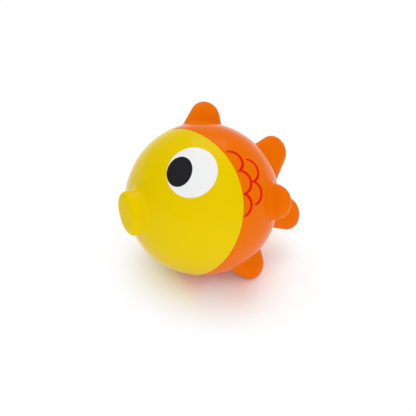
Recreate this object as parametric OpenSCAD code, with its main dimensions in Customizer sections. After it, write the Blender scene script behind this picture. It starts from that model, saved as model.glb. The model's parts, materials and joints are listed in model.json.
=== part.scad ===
// Squeaky bath toy: a round hollow fish in soft glossy vinyl.
// A yellow face shell and an orange rear shell close the ball along a bowed seam.
// The fins and the lips are moulded with the shells. A squeaker plugs the belly.
// The fish is drawn in its own frame (x forward, y to its left, z up, ball centre at zero)
// and is then laid down on the floor as it comes to rest: on its belly, its ventral fin
// and its right pectoral fin. Lengths are millimetres and angles are degrees.

/* [Body] */
// Outer radius of the round body
body_r = 45; // [41:0.5:52]
// Thickness of the vinyl wall
wall_t = 2.2; // [1.8:0.1:3]
// How far in front of the ball's centre the seam crosses the back and the belly
seam_x = 13; // [11:0.5:15]
// Radius of the bow that carries the seam back over the cheeks
seam_bow_r = 121; // [100:1:200]
// Glue gap in the seam and round its spigot
seam_gap = 0.15; // [0.1:0.05:0.3]
// Length of the spigot in front of the seam, which the face shell slides over
spigot_len = 5; // [3:0.5:8]
// Thickness of the spigot
spigot_t = 1.4; // [1:0.1:2]

/* [Mouth] */
// Height of the lips
mouth_h = 25.8; // [20:0.2:27]
// Width of the lips
mouth_w = 17.4; // [13:0.2:20]
// How far the flat front of the lips stands out from the ball
mouth_reach = 8.8; // [7.5:0.1:11]
// Radius of the round edge of the lips
mouth_edge_r = 4.2; // [1.5:0.1:5]
// How far the lips' front is turned upwards
mouth_tilt = 2.5; // [0:0.5:6]
// Radius of the fillet where the lips flow into the face
mouth_fillet = 4; // [2:0.1:4.5]

/* [Eyes] */
// Angle of each eye out from the nose, seen from above
eye_azimuth = 51.1; // [48:0.1:53]
// Angle of each eye above the nose line
eye_elevation = 20.5; // [17:0.5:24]
// Width of the white of the eye
eye_d = 29.2; // [26:0.2:30]
// How far the white bulges out of the face at its middle
eye_bulge = 1; // [0.5:0.1:2]
// Thickness of the white's rim, which sits in a seat in the face
eye_rim_t = 1.2; // [0.8:0.1:1.4]
// Width of the pupil, along the face
pupil_w = 14.9; // [11:0.1:16]
// Height of the pupil
pupil_h = 17.9; // [13:0.1:19.5]
// How far the pupil's upper end leans to the rear
pupil_tilt = 18; // [0:1:24]
// Strip of white left in front of the pupil
pupil_margin = 0.55; // [0.4:0.05:5]
// How far the pupil sits above the middle of the white
pupil_rise = 1.3; // [0:0.1:2.5]
// Thickness of the pupil
pupil_t = 0.8; // [0.5:0.1:1]
// Assembly gap round the eye pieces
eye_gap = 0.1; // [0.05:0.05:0.2]

/* [Fins] */
// Radius of every fin's round tip, seen from the side
fin_tip_r = 10.3; // [8:0.1:11]
// Thickness of the fins at the tip
fin_tip_t = 8.6; // [6:0.1:10]
// Thickness of the fins at the body
fin_root_t = 10.4; // [8:0.1:12]
// Radius of the fillet where a fin flows into the body
fin_fillet = 2.6; // [1.5:0.1:3]
// How far the dorsal fin stands out from the body
dorsal_reach = 14.4; // [12:0.1:17]
// Angle of the dorsal fin's tip behind straight up
dorsal_lean = 17; // [12:0.5:22]
// Angle of the dorsal fin's front root in front of straight up
dorsal_front = 3; // [0:0.5:8]
// Angle of the dorsal fin's rear root behind straight up
dorsal_rear = 32.5; // [30:0.5:38]
// How far the ventral fin stands out from the body
ventral_reach = 14.6; // [12:0.1:16]
// Angle of the ventral fin's tip behind straight down
ventral_lean = 29.5; // [27:0.5:32]
// Angle of the ventral fin's front root behind straight down
ventral_front = 11; // [10.5:0.5:14]
// Angle of the ventral fin's rear root behind straight down
ventral_rear = 48; // [44:0.5:50]
// How far each tail lobe stands out from the body
tail_reach = 28.9; // [24:0.1:32]
// Angle of each tail lobe's tip from the tail's middle line
tail_spread = 18; // [17:0.5:22]
// How far the tail's middle line stands above straight back
tail_rise = 0.5; // [0:0.5:2]
// Angle of the tail's outer root from its middle line
tail_root = 31.5; // [29:0.5:35]
// Angle past the middle line where the notch edge of a lobe would meet the body
tail_notch = 20; // [16:0.5:24]
// How far each pectoral fin stands out from the body
pectoral_reach = 10.6; // [10:0.1:13]
// Angle of the pectoral fins behind straight sideways
pectoral_sweep = 28; // [22:0.5:34]
// Angle of the pectoral fins below straight sideways
pectoral_drop = 13; // [8:0.5:18]
// Angle from the middle of a pectoral fin to each end of its root
pectoral_root = 14; // [12:0.5:17]

/* [Squeaker] */
// Angle of the squeaker in front of straight down
squeaker_angle = 2.5; // [1:0.5:4]
// Outer radius of the squeaker's plug
plug_r = 6; // [5.6:0.1:6.4]
// Length of the plug below its flange
plug_len = 10; // [9:0.5:13]
// Wall of the plug
plug_wall = 1.2; // [0.9:0.1:1.4]
// Width of the flange round the plug
flange_w = 1; // [0.7:0.1:1.2]
// Thickness of the flange
flange_t = 1.3; // [1.2:0.1:1.6]
// Wall of the vinyl neck round the plug
neck_wall = 2; // [1.5:0.1:2.5]
// Depth of the vinyl neck below the body's surface
neck_len = 7; // [6:0.5:8]
// Running gap between the plug and the neck
plug_gap = 0.05; // [0.03:0.01:0.1]
// Height of the snap bead below the neck
bead_h = 0.35; // [0.2:0.05:0.4]
// Length of the snap bead
bead_len = 0.9; // [0.7:0.1:1.2]
// Length of the taper that leads the plug into the neck
taper_len = 1.5; // [1:0.1:2]
// Width of the taper
taper_w = 0.5; // [0.3:0.1:0.7]
// Thickness of the pierced cover
cover_t = 0.7; // [0.5:0.1:0.9]
// Width of the flange's ring round the cover
cover_ring_w = 1.8; // [1.6:0.1:2]
// Radius of each air hole in the cover
air_hole_r = 0.7; // [0.4:0.05:0.9]
// Radius of the ring of air holes
air_ring_r = 3; // [2.7:0.1:3.6]
// Radius of the reed seat
seat_r = 2.5; // [2.3:0.1:2.8]
// Width of the reed seat's foot, which stops it under the plug
seat_foot_w = 0.8; // [0.5:0.1:1.2]
// Thickness of the reed seat's foot
seat_foot_t = 1.15; // [0.8:0.05:1.6]
// Length of the reed seat between its foot and the reed
seat_stem = 2.6; // [2.2:0.1:3]
// Distance of the seat's flat from the middle of the squeaker
seat_flat = 0.3; // [0.2:0.05:0.4]
// Radius of the bore that the air comes in by
duct_r = 0.9; // [0.6:0.05:1]
// Length of the reed
reed_len = 5.6; // [4.8:0.1:6.2]
// Width of the reed
reed_w = 3; // [2.6:0.1:3.4]
// Thickness of the reed
reed_t = 0.3; // [0.2:0.05:0.4]
// Length of the reed's foot, which the seat holds in a slot
reed_foot = 1; // [0.8:0.1:1.3]
// Gap on each side of the reed
reed_gap = 0.12; // [0.1:0.01:0.15]

/* [Hidden] */
$fn = 96;
inner_r = body_r - wall_t;
seam_centre_x = seam_x - seam_bow_r;
far = 4 * body_r;
cut_over = 1;
foot_sink = 0.12;
foot_depth = 1.2;
fin_sides = 24;
fin_power = 2.5;
root_dive = 1.2;
fillet_room = 0.8;
drop_step = 0.5;
pupil_proud = 0.05;
fillet_steps = 4;
tip_steps = 7;
edge_steps = 4;
mouth_sides = 48;
pupil_sides = 60;
vinyl_yellow = [0.91, 0.78, 0.01];
vinyl_orange = [0.93, 0.43, 0.05];
eye_white_colour = [0.94, 0.95, 0.95];
pupil_colour = [0.13, 0.13, 0.14];
plastic_clear = [0.86, 0.88, 0.88];
brass = [0.78, 0.66, 0.36];

// ---------------------------------------------------------------- vectors
function unit(v) = v / norm(v);
function mix(a, b, t) = a + (b - a) * t;
// Point at an angle back from a direction, in the fish's middle plane
function up_back(r, back) = [-r * sin(back), 0, r * cos(back)];
function down_back(r, back) = [-r * sin(back), 0, -r * cos(back)];
function tail_point(r, rise) = [-r * cos(rise), 0, r * sin(rise)];
function side_point(r, side, sweep, drop) =
    [-r * sin(sweep) * cos(drop), side * r * cos(sweep) * cos(drop), -r * sin(drop)];

// ---------------------------------------------------------------- moulded fins
// A fin is a puffed plate. Seen from the side, two straight edges run from its two roots on
// the body and touch a round tip. Across itself every section is a fuller oval,
// |x/a|^p + |z/b|^p = 1, and the thickness runs out over the tip in the same way.
// fin = [tip centre, front root, rear root].
function fin_normal(fin) = unit(cross(fin[0] - fin[1], fin[2] - fin[1]));
// Where the straight edge from a root touches the tip circle, as a direction from the tip centre
function touch(fin, root, turn) =
    let (v = fin[0] - root, d = norm(v), n = fin_normal(fin) * turn,
         a = asin(fin_tip_r / d), along = unit(v), across = cross(n, along),
         edge = along * cos(a) - across * sin(a))
    cross(edge, n);
function touches(fin) = [touch(fin, fin[1], 1), touch(fin, fin[2], -1)];
// Direction from the tip centre to the fin's outermost point
function fin_axis(fin) = let (t = touches(fin)) unit(t[0] + t[1]);
// Angle round the tip circle from the touching points to the outermost point
function wrap(fin) = acos(touches(fin)[0] * fin_axis(fin));
function full(v) = sign(v) * pow(abs(v), 2 / fin_power);
// Section of a fin between two points of its outline
function section(front, rear, n, half_t) =
    [for (k = [0 : fin_sides - 1]) let (a = -360 * k / fin_sides)
        mix(front, rear, 0.5) + (front - rear) / 2 * full(cos(a)) + n * half_t * full(sin(a))];
// Half thickness at an angle from the fin's axis round the tip
function tip_half(a) = fin_tip_t / 2 * pow(1 - pow(max(cos(a), 0), fin_power), 1 / fin_power);
// Ring of the fin through both edges: w = 0 at the roots, 1 where the edges touch the tip
function edge_ring(fin, w) =
    let (ends = [for (t = touches(fin)) fin[0] + t * fin_tip_r])
    section(mix(fin[1], ends[0], w), mix(fin[2], ends[1], w), fin_normal(fin),
        mix(fin_root_t / 2, tip_half(wrap(fin)), w));
// Ring round the tip: w = 0 at the touching points, 1 at the outermost point
function tip_ring(fin, w) =
    let (t = touches(fin), a = wrap(fin) * (1 - w), across = unit(t[0] - t[1]) * fin_tip_r * sin(a),
         mid = fin[0] + fin_axis(fin) * fin_tip_r * cos(a))
    section(mid + across, mid - across, fin_normal(fin), tip_half(a));
// Direction in which a ring faces at one of its points
function ring_out(ring, n, k) =
    let (last = len(ring), along = ring[(k + 1) % last] - ring[(k + last - 1) % last],
         across = cross(n, along))
    unit(across * (ring[k] - mix(ring[0], ring[last / 2], 0.5)) > 0 ? across : -across);
// Where the straight line from p to q leaves the body
function leave(p, q) =
    let (d = q - p, a = d * d, b = p * d, c = p * p - body_r * body_r)
    p + d * ((-b + sqrt(b * b - a * c)) / a);
// Fillet from a wall line that leaves the body at s, towards q: t = 0 on the wall, 1 on the body
function fillet_point(s, q, out, f, t) =
    let (up = unit(q - s), reach = min(f, fillet_room * norm(q - s)), radial = unit(s),
         flat = unit(out - radial * (out * radial)),
         top = s + up * reach, foot = unit(s + flat * f) * (body_r - foot_sink))
    mix(mix(top, s, t), mix(s, foot, t), t);

// Solid skin over a stack of rings, closed by a point at each end
module skin(rings, low, high) {
    n = len(rings[0]);
    last = (len(rings) - 1) * n;
    below = last + n;
    walls = [for (j = [0 : n : last - n], k = [0 : n - 1])
        each [[j + k, j + n + (k + 1) % n, j + (k + 1) % n], [j + k, j + n + k, j + n + (k + 1) % n]]];
    floor = [for (k = [0 : n - 1]) [below, k, (k + 1) % n]];
    peak = [for (k = [0 : n - 1]) [below + 1, last + (k + 1) % n, last + k]];
    polyhedron(points = concat([for (ring = rings) each ring], [low, high]), faces = concat(walls, floor, peak));
}

module fin(f) {
    root = edge_ring(f, 0);
    top = edge_ring(f, 1);
    up = unit(f[0] - mix(f[1], f[2], 0.5));
    out = [for (k = [0 : fin_sides - 1]) ring_out(root, up, k)];
    inner = [for (k = [0 : fin_sides - 1]) root[k] - (top[k] - root[k]) * root_dive];
    cut = [for (k = [0 : fin_sides - 1]) leave(inner[k], top[k])];
    fillet = [for (i = [0 : fillet_steps]) [for (k = [0 : fin_sides - 1])
        fillet_point(cut[k], top[k], out[k], fin_fillet, 1 - i / fillet_steps)]];
    buried = [for (p = fillet[0]) unit(p) * (body_r - foot_depth)];
    tip = [for (i = [1 : tip_steps - 1]) tip_ring(f, i / tip_steps)];
    skin(concat([buried], fillet, [top], tip), unit(f[1] + f[2]) * (body_r - 2 * foot_depth),
        f[0] + fin_axis(f) * fin_tip_r);
}

fin_core_r = body_r - fin_tip_r;
function dorsal_fin() = [up_back(fin_core_r + dorsal_reach, dorsal_lean),
    up_back(body_r, -dorsal_front), up_back(body_r, dorsal_rear)];
function ventral_fin() = [down_back(fin_core_r + ventral_reach, ventral_lean),
    down_back(body_r, ventral_front), down_back(body_r, ventral_rear)];
function tail_lobe(side) = [tail_point(fin_core_r + tail_reach, tail_rise + side * tail_spread),
    tail_point(body_r, tail_rise + side * tail_root), tail_point(body_r, tail_rise - side * tail_notch)];
function pectoral_fin(side) = [side_point(fin_core_r + pectoral_reach, side, pectoral_sweep, pectoral_drop),
    side_point(body_r, side, pectoral_sweep, pectoral_drop - pectoral_root),
    side_point(body_r, side, pectoral_sweep, pectoral_drop + pectoral_root)];

// ---------------------------------------------------------------- lying at rest
// Distance from the ball's centre down to the lowest point of a fin's tip
function fin_drop(f, down) =
    let (t = touches(f), p = fin_power / (fin_power - 1), along = down * fin_axis(f),
         across = abs(down * unit(t[0] - t[1])), aside = abs(down * fin_normal(f)))
    down * f[0] + max([for (a = [0 : drop_step : wrap(f)]) fin_tip_r * cos(a) * along
        + pow(pow(fin_tip_r * sin(a) * across, p) + pow(tip_half(a) * aside, p), 1 / p)]);
// Unit vector with given products with a and b, on the side of c
function meet(a, b, ka, kb, c) =
    let (aa = a * a, ab = a * b, bb = b * b, det = aa * bb - ab * ab,
         flat = (a * (ka * bb - kb * ab) + b * (kb * aa - ka * ab)) / det,
         across = unit(cross(a, b)), rise = sqrt(1 - flat * flat))
    flat + across * rise * (across * c > 0 ? 1 : -1);
// The direction that points down once ball, ventral fin and right pectoral fin all touch the floor
function rest_down(down, steps) =
    let (v = ventral_fin(), p = pectoral_fin(-1))
    steps == 0 ? down : rest_down(meet(v[0], p[0],
        body_r - (fin_drop(v, down) - down * v[0]),
        body_r - (fin_drop(p, down) - down * p[0]), [0, 0, -1]), steps - 1);
down = rest_down([0, -0.6, -0.8], 12);
rest_pitch = -asin(down[0]);
rest_roll = atan2(-down[1], -down[2]);

module at_rest() {
    translate([0, 0, body_r]) rotate([rest_roll, -rest_pitch, 180]) children();
}

// ---------------------------------------------------------------- shells
module seam_side(gap) {
    translate([seam_centre_x, 0, 0]) cylinder(h = far, r = seam_bow_r + gap, center = true, $fn = 180);
}

module ball(r) {
    sphere(r = r);
}

// The same ball turned round, so that its closing line stays clear of the mouth and the eyes
module face_ball(r) {
    rotate([0, 0, 180]) ball(r);
}

// Lips: an upright oval with a round edge and a flat front, on a fillet
function oval(a, inset) = [(mouth_w / 2 - inset) * cos(a), (mouth_h / 2 - inset) * sin(a)];
function lip_point(x, inset, a) = let (p = oval(a, inset)) [x + p[1] * tan(mouth_tilt), p[0], p[1]];
module lips() {
    front = body_r + mouth_reach;
    turns = [for (k = [0 : mouth_sides - 1]) 360 * k / mouth_sides];
    top = [for (a = turns) lip_point(front - mouth_edge_r, 0, a)];
    cut = [for (p = top) leave([0, p[1], p[2]], p)];
    fillet = [for (i = [0 : fillet_steps]) [for (k = [0 : mouth_sides - 1])
        fillet_point(cut[k], top[k], unit([0, top[k][1], top[k][2]]), mouth_fillet, 1 - i / fillet_steps)]];
    buried = [for (p = fillet[0]) unit(p) * (body_r - foot_depth)];
    edge = [for (i = [1 : edge_steps]) let (b = 90 * i / edge_steps) [for (a = turns)
        lip_point(front - mouth_edge_r * (1 - sin(b)), mouth_edge_r * (1 - cos(b)), a)]];
    skin(concat([buried], fillet, [top], edge), [body_r - 2 * foot_depth, 0, 0], [front, 0, 0]);
}

module at_eye(side) {
    mirror([0, side < 0 ? 1 : 0, 0]) rotate([0, -eye_elevation, eye_azimuth]) children();
}

module face_form() {
    difference() {
        union() {
            face_ball(body_r);
            lips();
        }
        face_ball(inner_r);
        seam_side(seam_gap);
        for (side = [-1, 1]) at_eye(side) eye_seat();
    }
}

module face_shell() {
    color(vinyl_yellow) at_rest() face_form();
}

// The first part stands in front of the seam and the second is its root behind the seam
module spigot() {
    difference() {
        intersection() {
            ball(inner_r - seam_gap);
            seam_side(spigot_len);
        }
        ball(inner_r - seam_gap - spigot_t);
        seam_side(-spigot_len);
    }
    difference() {
        intersection() {
            ball(inner_r + seam_gap);
            seam_side(0);
        }
        ball(inner_r - seam_gap - spigot_t);
        seam_side(-spigot_len);
    }
}

module rear_form() {
    difference() {
        union() {
            intersection() {
                ball(body_r);
                seam_side(0);
            }
            fin(dorsal_fin());
            fin(ventral_fin());
            for (side = [-1, 1]) {
                fin(tail_lobe(side));
                fin(pectoral_fin(side));
            }
        }
        ball(inner_r);
    }
}

module rear_shell() {
    color(vinyl_orange) at_rest() difference() {
        union() {
            rear_form();
            spigot();
            at_squeaker() neck();
        }
        at_squeaker() plug_hole();
    }
}

// ---------------------------------------------------------------- eyes
// Along +x: the white is a shallow dome whose rim is flush with the face
eye_rim_x = sqrt(body_r * body_r - eye_d * eye_d / 4);
eye_dome_h = body_r + eye_bulge - eye_rim_x;
eye_dome_r = (eye_d * eye_d / 4 + eye_dome_h * eye_dome_h) / (2 * eye_dome_h);
eye_dome_x = body_r + eye_bulge - eye_dome_r;
eye_floor_r = body_r - eye_rim_t;
// How far the pupil sits in front of the middle of the white
pupil_shift = eye_d / 2 - pupil_w / 2 - pupil_margin;

module rod(r) {
    rotate([0, 90, 0]) cylinder(h = 2 * body_r, r = r);
}

module eye_seat() {
    difference() {
        rod(eye_d / 2 + eye_gap);
        face_ball(eye_floor_r);
    }
}

module pupil_prism(grow) {
    turns = [for (k = [0 : pupil_sides - 1]) 360 * k / pupil_sides];
    rotate([0, -atan2(pupil_rise, body_r), -atan2(pupil_shift, body_r)]) rotate([90, 0, 90])
        linear_extrude(height = 2 * body_r) rotate(-pupil_tilt)
            polygon([for (a = turns) [(pupil_w / 2 + grow) * cos(a), (pupil_h / 2 + grow) * sin(a)]]);
}

module eye_dome(grow) {
    translate([eye_dome_x, 0, 0]) face_ball(eye_dome_r + grow);
}

module eye_white(side) {
    color(eye_white_colour) at_rest() at_eye(side) difference() {
        intersection() {
            rod(eye_d / 2);
            eye_dome(0);
        }
        face_ball(eye_floor_r + eye_gap);
        difference() {
            pupil_prism(eye_gap / 2);
            eye_dome(-pupil_t);
        }
    }
}

module pupil(side) {
    color(pupil_colour) at_rest() at_eye(side) difference() {
        intersection() {
            pupil_prism(0);
            eye_dome(pupil_proud);
        }
        eye_dome(eye_gap / 2 - pupil_t);
    }
}

module eye_white_left() { eye_white(1); }
module eye_white_right() { eye_white(-1); }
module pupil_left() { pupil(1); }
module pupil_right() { pupil(-1); }

// ---------------------------------------------------------------- squeaker
// Its frame: +z points out of the belly and zero is the flange's outer face
flange_r = plug_r + flange_w;
flange_hole_r = flange_r + plug_gap;
flange_z = sqrt(body_r * body_r - flange_hole_r * flange_hole_r) - plug_gap;
plug_end = -flange_t - plug_len;
chamber_r = plug_r - plug_wall;
cover_r = flange_r - cover_ring_w;
seat_base = plug_end - plug_gap - seat_foot_t;
reed_z = plug_end + seat_stem;
groove_z = reed_z + reed_gap;
groove_w = 2 * duct_r;

module at_squeaker() {
    rotate([0, 180 - squeaker_angle, 0]) translate([0, 0, flange_z]) children();
}

module upright(r, low, high) {
    translate([0, 0, low]) cylinder(h = high - low, r = r);
}

// Cut that runs past both ends of what it goes through
module bore(r, low, high) {
    upright(r, low - cut_over, high + cut_over);
}

module neck() {
    difference() {
        upright(plug_r + plug_gap + neck_wall, -neck_len, 0);
        translate([0, 0, -flange_z]) difference() {
            ball(2 * body_r);
            ball(body_r - wall_t / 2);
        }
    }
}

module plug_hole() {
    bore(plug_r + plug_gap, -neck_len, 0);
    bore(flange_hole_r, -flange_t - plug_gap + cut_over, wall_t);
}

// One profile turned round: taper, wall, snap bead, flange, seat for the cover and chamber
module squeaker_housing() {
    bead_top = -neck_len - plug_gap;
    cover_seat = -cover_t - plug_gap;
    ring_r = cover_r + plug_gap;
    color(plastic_clear) at_rest() at_squeaker() rotate_extrude() polygon([
        [seat_r + plug_gap, plug_end], [plug_r - taper_w, plug_end], [plug_r, plug_end + taper_len],
        [plug_r, bead_top - bead_len], [plug_r + bead_h, bead_top - bead_len / 2], [plug_r, bead_top],
        [plug_r, -flange_t], [flange_r, -flange_t], [flange_r, 0], [ring_r, 0], [ring_r, cover_seat],
        [chamber_r, cover_seat], [chamber_r, plug_end + plug_wall], [seat_r + plug_gap, plug_end + plug_wall]]);
}

module squeaker_cover() {
    color(plastic_clear) at_rest() at_squeaker() difference() {
        upright(cover_r, -cover_t, 0);
        bore(air_hole_r, -cover_t, 0);
        for (a = [0 : 60 : 300]) rotate([0, 0, a]) translate([air_ring_r, 0, 0]) bore(air_hole_r, -cover_t, 0);
    }
}

// A round stub with a flat, a groove under the reed for the air, and a slot for the reed's foot
module reed_seat() {
    color(plastic_clear) at_rest() at_squeaker() difference() {
        union() {
            upright(seat_r, seat_base, reed_z + reed_len + reed_gap);
            upright(seat_r + seat_foot_w, seat_base, seat_base + seat_foot_t);
        }
        translate([seat_flat, -seat_r, reed_z + reed_foot]) cube([seat_r, 2 * seat_r, reed_len]);
        translate([seat_flat, -reed_w / 2 - reed_gap, reed_z - reed_gap])
            cube([reed_t + 2 * reed_gap, reed_w + 2 * reed_gap, reed_len]);
        bore(duct_r, seat_base, reed_z);
        translate([-duct_r, -duct_r, groove_z]) cube([seat_r, groove_w, reed_len - groove_w]);
    }
}

module reed() {
    color(brass) at_rest() at_squeaker() translate([seat_flat + reed_gap, -reed_w / 2, reed_z])
        cube([reed_t, reed_w, reed_len]);
}

face_shell();
rear_shell();
eye_white_left();
eye_white_right();
pupil_left();
pupil_right();
squeaker_housing();
squeaker_cover();
reed_seat();
reed();
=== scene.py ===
"""Looks of the squeaky bath toy: a round fish of glossy soft vinyl that lies on a pale floor.

The toy's own frame has x ahead to the mouth, y to its left and z up, with the middle of the
ball at zero, in millimetres. RestPose lays points of that frame down in the row's frame, in
metres. Each sub-assembly is a class that holds its sizes, builds its skins and dresses them.
"""

import json
import logging
from dataclasses import dataclass
from enum import Enum
from typing import Any, Sequence

import bpy
import numpy as np
from mathutils import Matrix, Vector


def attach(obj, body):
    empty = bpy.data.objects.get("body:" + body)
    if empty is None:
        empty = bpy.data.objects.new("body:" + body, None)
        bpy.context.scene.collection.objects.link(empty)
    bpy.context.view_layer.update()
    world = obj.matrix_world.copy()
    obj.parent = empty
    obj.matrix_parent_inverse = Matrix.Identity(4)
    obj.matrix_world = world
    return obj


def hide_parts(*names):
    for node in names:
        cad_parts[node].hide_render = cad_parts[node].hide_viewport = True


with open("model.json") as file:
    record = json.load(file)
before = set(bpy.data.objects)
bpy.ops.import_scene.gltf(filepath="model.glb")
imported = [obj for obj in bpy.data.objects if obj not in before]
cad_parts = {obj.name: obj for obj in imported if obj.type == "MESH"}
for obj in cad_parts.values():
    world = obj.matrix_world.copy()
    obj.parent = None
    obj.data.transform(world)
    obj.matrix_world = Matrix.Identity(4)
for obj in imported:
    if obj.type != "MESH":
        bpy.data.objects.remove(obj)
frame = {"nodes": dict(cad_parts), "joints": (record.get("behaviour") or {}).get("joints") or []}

LOG = logging.getLogger("bath_fish")
MM = 0.001
IMAGE_PX = 416
TOY = "toy"
SHARP_ANGLE = np.radians(38)
WHITE = (1.0, 1.0, 1.0, 1.0)

Array = np.ndarray


# ---------------------------------------------------------------- vectors
def unit(v: Array) -> Array:
    """Vectors of the last axis, scaled to length one."""
    v = np.asarray(v, float)
    return v / np.linalg.norm(v, axis=-1, keepdims=True)


def mix(a: Array, b: Array, t: Any) -> Array:
    """The point a share t of the way from a to b."""
    return a + (b - a) * t


def dot(a: Array, b: Array) -> Array:
    """Dot products along the last axis, which is kept."""
    return np.sum(a * b, axis=-1, keepdims=True)


def around(count: int) -> Array:
    """Angles of a full turn in equal steps, without the last one."""
    return np.linspace(0, 2 * np.pi, count, endpoint=False)


def on_axis(x: Any, out: Any, turn: Array) -> Array:
    """Points about the x axis: x along it, and out from it in the direction turn, from +y to +z."""
    x, out, turn = np.broadcast_arrays(x, out, turn)
    return np.stack([x, out * np.cos(turn), out * np.sin(turn)], axis=-1)


def bend(top: Array, corner: Array, foot: Array, steps: int) -> Array:
    """Quadratic curve from top to foot that leaves and arrives along the lines through corner."""
    t = np.linspace(0, 1, steps + 1).reshape(-1, *[1] * np.ndim(top))
    return mix(mix(top, corner, t), mix(corner, foot, t), t)


class Side(Enum):
    """The two sides of the fish."""

    LEFT = 1
    RIGHT = -1

    @property
    def word(self) -> str:
        """The side's name as it stands in the nodes' names."""
        return self.name.lower()


class Way(Enum):
    """The two ways along the ball, as signs of a change of the angle from the nose."""

    NOSEWARD = -1
    TAILWARD = 1


@dataclass(frozen=True)
class RestPose:
    """How the fish lies on the floor, with its left in the row's frame and the ball's radius.

    The reed's hinge runs along the fish's left. The fish heads towards -X without turning
    aside, so its heading is square to its left and has no part along Y.
    """

    left: tuple[float, float, float]
    ball_r: float

    @property
    def axes(self) -> Array:
        """The fish's own directions.

        Returns:
            Columns ahead, left and up of the fish, in the row's frame.
        """
        left = unit(np.array(self.left))
        ahead = unit(np.array([-left[2], 0, left[0]]))
        return np.stack([ahead, left, np.cross(ahead, left)], axis=1)

    def lay(self, points: Array) -> Array:
        """Points of the fish's frame in millimetres, as points of the row's frame in metres."""
        return (points @ self.axes.T + [0, 0, self.ball_r]) * MM


# ---------------------------------------------------------------- skins
class Skin:
    """A closed surface put together from rings of points and strips of faces between them."""

    def __init__(self) -> None:
        """Starts with no points and no faces."""
        self.points: list[Array] = []
        self.quads: list[Array] = []
        self.triangles: list[Array] = []
        self.count = 0

    def add(self, points: Array) -> Array:
        """Adds points of any grid shape.

        Args:
            points: An array whose last axis is x, y, z.

        Returns:
            The points' numbers, in the grid's shape.
        """
        shape = points.shape[:-1]
        ids = np.arange(self.count, self.count + int(np.prod(shape))).reshape(shape)
        self.points.append(points.reshape(-1, 3))
        self.count += ids.size
        return ids

    def bridge(self, low: Array, high: Array, keep: Array | None = None) -> None:
        """Joins rings to rings. Each ring closes on itself, and a repeated number makes a triangle.

        Args:
            low: Numbers of one ring, or of a stack of rings, with the ring along the last axis.
            high: Numbers of the rings on the other side of the strips.
            keep: Which quads are kept, in the shape of low.
        """
        corners = np.stack([low, np.roll(low, -1, -1), np.roll(high, -1, -1), high], axis=-1)
        corners = corners[keep] if keep is not None else corners.reshape(-1, 4)
        foot = corners[:, 0] == corners[:, 1]
        peak = corners[:, 2] == corners[:, 3]
        self.quads.append(corners[~foot & ~peak])
        self.triangles.append(corners[peak & ~foot][:, [0, 1, 2]])
        self.triangles.append(corners[foot & ~peak][:, [0, 2, 3]])

    def stack(self, rings: Array) -> Array:
        """Adds a stack of rings and the strips between them.

        Args:
            rings: The rings' points, one ring after another.

        Returns:
            The rings' numbers.
        """
        ids = self.add(rings)
        self.bridge(ids[:-1], ids[1:])
        return ids

    def close(self, ring: Array, point: Array, first: bool = False) -> None:
        """Closes a ring by a fan about one point, which comes before the ring if first is set."""
        pole = np.repeat(self.add(np.asarray(point, float).reshape(1, 3)), ring.shape[-1])
        self.bridge(*((pole, ring) if first else (ring, pole)))

    def outward(self) -> tuple[Array, list[Array]]:
        """Turns the faces so that the enclosed volume, the sum of a . (b x c) / 6, is positive.

        Returns:
            The points, and the faces' corners as one array of quads and one of triangles.
        """
        points = np.concatenate(self.points)
        quads, triangles = np.concatenate(self.quads), np.concatenate(self.triangles)
        halves = np.concatenate([quads[:, [0, 1, 2]], quads[:, [0, 2, 3]], triangles])
        a, b, c = (points[halves[:, k]] for k in range(3))
        if np.sum(a * np.cross(b, c)) < 0:
            quads, triangles = quads[:, ::-1], triangles[:, ::-1]
        return points, [quads, triangles]


def make_object(
    name: str, skins: Sequence[Skin], pose: RestPose, finish: bpy.types.Material
) -> bpy.types.Object:
    """Makes one object of closed skins, in its place in the row's frame.

    Args:
        name: The object's name.
        skins: The closed surfaces, in the fish's frame.
        pose: How the fish lies.
        finish: The material.

    Returns:
        The new object, at the origin, smooth but for edges sharper than SHARP_ANGLE.
    """
    points, faces, start = [], [], 0
    for skin in skins:
        skin_points, skin_faces = skin.outward()
        points.append(skin_points)
        for group in skin_faces:
            faces.extend((group + start).tolist())
        start += len(skin_points)
    mesh = bpy.data.meshes.new(name)
    mesh.from_pydata(pose.lay(np.concatenate(points)).tolist(), [], faces)
    mesh.polygons.foreach_set("use_smooth", np.ones(len(mesh.polygons), bool))
    mesh.set_sharp_from_angle(angle=SHARP_ANGLE)
    mesh.materials.append(finish)
    mesh.update()
    piece = bpy.data.objects.new(name, mesh)
    bpy.context.scene.collection.objects.link(piece)
    return piece


# ---------------------------------------------------------------- shader maths
class Socket:
    """A shader value that adds a Math node for each sign of an expression written with it."""

    def __init__(self, nodes: "Nodes", link: bpy.types.NodeSocket) -> None:
        """Wraps one output socket of the tree that nodes builds."""
        self.nodes = nodes
        self.link = link

    def _math(self, operation: str, *values: Any) -> "Socket":
        """One Math node on this tree."""
        return self.nodes.add("ShaderNodeMath", {"operation": operation}, dict(enumerate(values)))

    def __add__(self, other: Any) -> "Socket":
        """Sum."""
        return self._math("ADD", self, other)

    __radd__ = __add__

    def __sub__(self, other: Any) -> "Socket":
        """Difference."""
        return self._math("SUBTRACT", self, other)

    def __rsub__(self, other: Any) -> "Socket":
        """Difference from a number."""
        return self._math("SUBTRACT", other, self)

    def __mul__(self, other: Any) -> "Socket":
        """Product."""
        return self._math("MULTIPLY", self, other)

    __rmul__ = __mul__

    def __pow__(self, other: Any) -> "Socket":
        """Power."""
        return self._math("POWER", self, other)

    def clamp(self) -> "Socket":
        """The value kept between 0 and 1."""
        return self._math("MINIMUM", self._math("MAXIMUM", self, 0.0), 1.0)


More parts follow.
